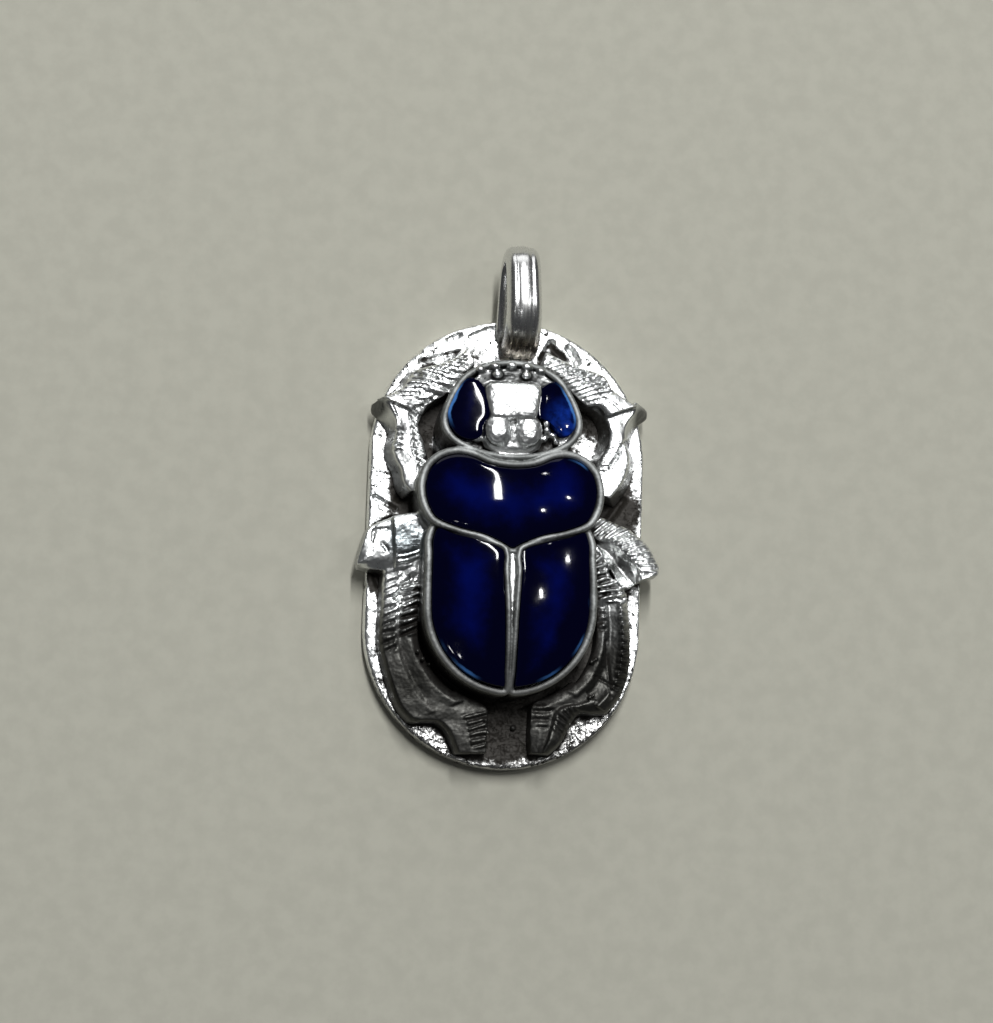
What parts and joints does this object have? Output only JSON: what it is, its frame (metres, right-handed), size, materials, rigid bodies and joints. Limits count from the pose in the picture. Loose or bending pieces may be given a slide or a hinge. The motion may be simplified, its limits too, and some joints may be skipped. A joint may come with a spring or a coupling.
{
  "type": "scarab amulet pendant",
  "caption": "Oblong silver pendant bearing a cast scarab beetle with blue enamel back and a ribbed hanging loop.",
  "frame": {"origin": "centre of the plate's flat underside, on which the pendant lies", "axes": "+Z out of the face, +Y along the beetle from tail to head and on to the bail, +X to the right as seen from the face"},
  "size_m": [0.0187, 0.0317, 0.006],
  "materials": {
    "plate_silver": "worn, scratched silver with dark tarnish in the hollows",
    "cast_silver": "cast silver, rubbed bright on the high places and dark in the hatching",
    "cobalt_enamel": "glossy deep cobalt-blue enamel, domed",
    "bail_silver": "polished silver strap with shallow ribs, lightly worn"
  },
  "bodies": {
    "root": {"base_plate": "plate_silver", "scarab_casting": "cast_silver", "enamel_cheek_left": "cobalt_enamel", "enamel_cheek_right": "cobalt_enamel", "enamel_thorax": "cobalt_enamel", "enamel_wing_left": "cobalt_enamel", "enamel_wing_right": "cobalt_enamel", "bail": "bail_silver"}
  },
  "joints": []
}
